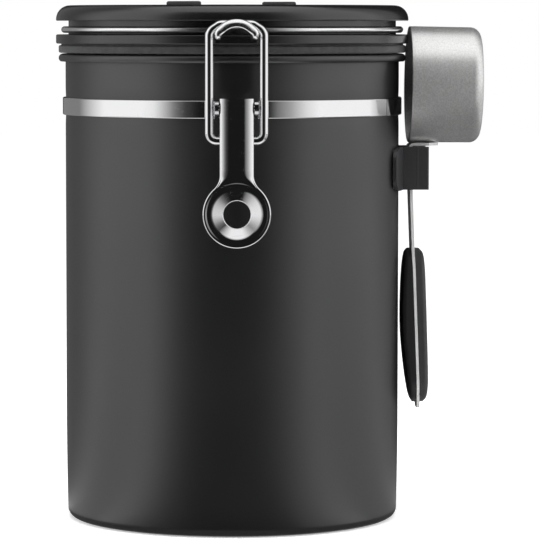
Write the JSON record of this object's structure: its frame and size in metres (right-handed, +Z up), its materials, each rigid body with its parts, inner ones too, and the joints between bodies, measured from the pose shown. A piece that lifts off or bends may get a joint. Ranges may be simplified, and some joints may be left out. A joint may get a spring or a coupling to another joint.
{
  "type": "coffee canister with valve",
  "caption": "Tall round steel canister with a hinged lid, gas valve, date dial, wire toggle latch and a clip-on measuring scoop.",
  "frame": {"origin": "middle of the flat face that the canister stands on, on the canister's own axis", "axes": "+Z up along the canister's axis, -Y towards the latch at the front, +X towards the scoop"},
  "size_m": [0.15, 0.1388, 0.182],
  "materials": {
    "body_paint": "matte dark grey powder coat on steel",
    "band_steel": "polished stainless steel",
    "latch_steel": "polished stainless steel",
    "lever_chrome": "bright plated pressed steel",
    "wire_chrome": "bright polished wire",
    "hinge_steel": "satin stainless steel",
    "pin_steel": "turned steel",
    "clip_plastic": "satin dark grey moulding",
    "adhesive_foam": "foam tape",
    "lid_plastic": "satin black moulding",
    "gasket_silicone": "mottled dark silicone",
    "valve_plastic": "satin black moulding",
    "valve_silicone": "soft translucent grey silicone",
    "filter_felt": "pressed felt",
    "scale_plastic": "satin black with pale numbers",
    "dial_plastic": "fine matte black moulding",
    "scoop_steel": "brushed stainless steel",
    "grip_plastic": "satin black moulding"
  },
  "bodies": {
    "canister": {"canister_shell": "body_paint", "body_band": "band_steel", "latch_bracket": "latch_steel", "latch_rivets": "latch_steel", "lever_pivot_pin": "pin_steel", "hinge_bracket": "hinge_steel", "hinge_rivets": "hinge_steel", "hinge_pin": "pin_steel", "scoop_clip": "clip_plastic", "clip_pad": "adhesive_foam"},
    "lid": {"lid_cap": "lid_plastic", "lid_base": "lid_plastic", "lid_gasket": "gasket_silicone", "lid_screws": "pin_steel", "clamp_ring": "wire_chrome", "hinge_leaf": "hinge_steel", "valve_housing": "valve_plastic", "valve_seal": "gasket_silicone", "valve_filter": "filter_felt", "filter_retainer": "valve_plastic", "valve_cap": "valve_plastic", "date_scale": "scale_plastic"},
    "valve": {"valve_disc": "valve_silicone"},
    "dial": {"date_dial": "dial_plastic"},
    "lever": {"latch_lever": "lever_chrome"},
    "link": {"latch_link": "wire_chrome"},
    "scoop": {"scoop_bowl": "scoop_steel", "scoop_strip": "scoop_steel", "grip_outer": "grip_plastic", "grip_inner": "grip_plastic", "grip_rivets": "pin_steel"}
  },
  "joints": [
    {"name": "lid_hinge", "type": "hinge", "parent": "canister", "child": "lid", "pos_m": [0, 0.066, 0.164], "axis": [-1, 0, 0], "range_deg": [0, 100]},
    {"name": "valve_lift", "type": "slide", "parent": "lid", "child": "valve", "axis": [0, 0, 1], "range_m": [0, 0.0008]},
    {"name": "date_turn", "type": "hinge", "parent": "lid", "child": "dial", "pos_m": [0, 0, 0.18], "axis": [0, 0, 1], "continuous": true},
    {"name": "latch_throw", "type": "hinge", "parent": "canister", "child": "lever", "pos_m": [0, -0.065, 0.146], "axis": [-1, 0, 0], "range_deg": [0, 80]},
    {"name": "link_turn", "type": "hinge", "parent": "lever", "child": "link", "pos_m": [0, -0.06445, 0.13505], "axis": [-1, 0, 0], "range_deg": [-60, 0]},
    {"name": "scoop_release", "type": "slide", "parent": "canister", "child": "scoop", "axis": [1, 0, 0], "range_m": [0, 0.06]}
  ],
  "couplings": [
    {"joint": "link_turn", "follows": "latch_throw", "ratio": -0.745}
  ]
}
